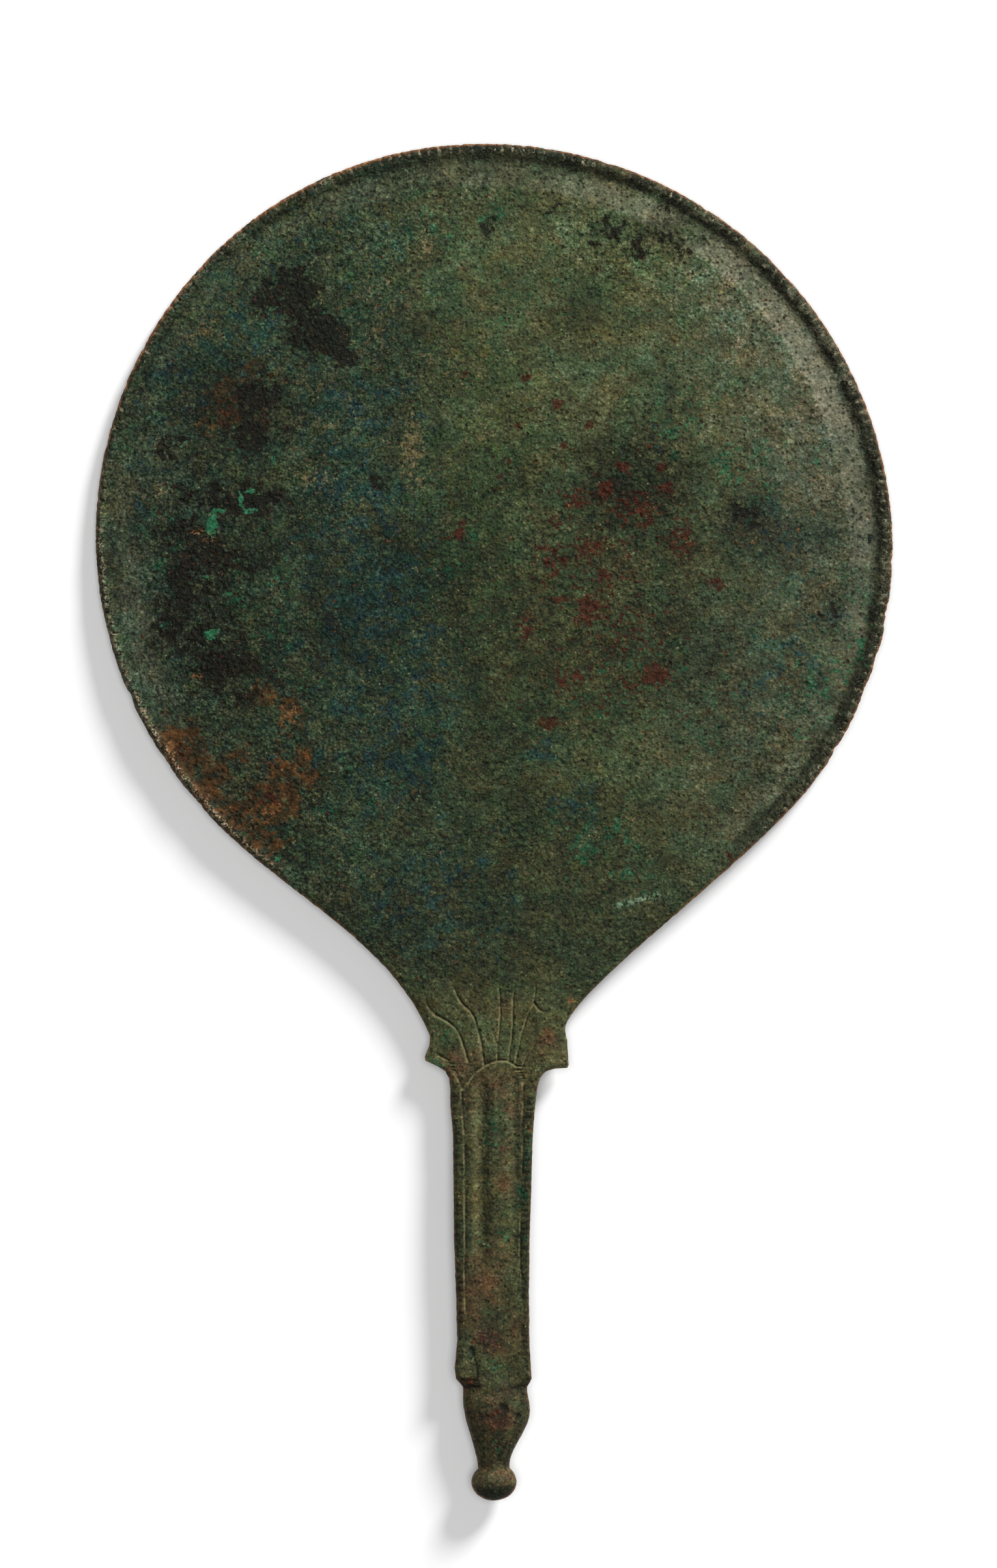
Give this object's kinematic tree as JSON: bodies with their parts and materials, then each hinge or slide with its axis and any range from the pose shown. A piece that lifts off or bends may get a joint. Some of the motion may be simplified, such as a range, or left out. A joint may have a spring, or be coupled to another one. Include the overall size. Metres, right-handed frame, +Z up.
{
  "type": "ancient bronze hand mirror",
  "caption": "Round hand mirror with a notched raised lip, domed face, winged neck, flat fluted handle and tapered knobbed terminal.",
  "frame": {"origin": "on the table, below the middle of the mirror's bounding box, with the mirror lying on its back", "axes": "+Y from the knob of the handle to the top of the disc, +Z up out of the reflecting face, +X to the right seen from above"},
  "size_m": [0.1468, 0.25, 0.008],
  "materials": {
    "patinated_bronze": "matt to satin green, brown and blue-black patina over cast bronze"
  },
  "bodies": {
    "root": {"mirror": "patinated_bronze"}
  },
  "joints": []
}
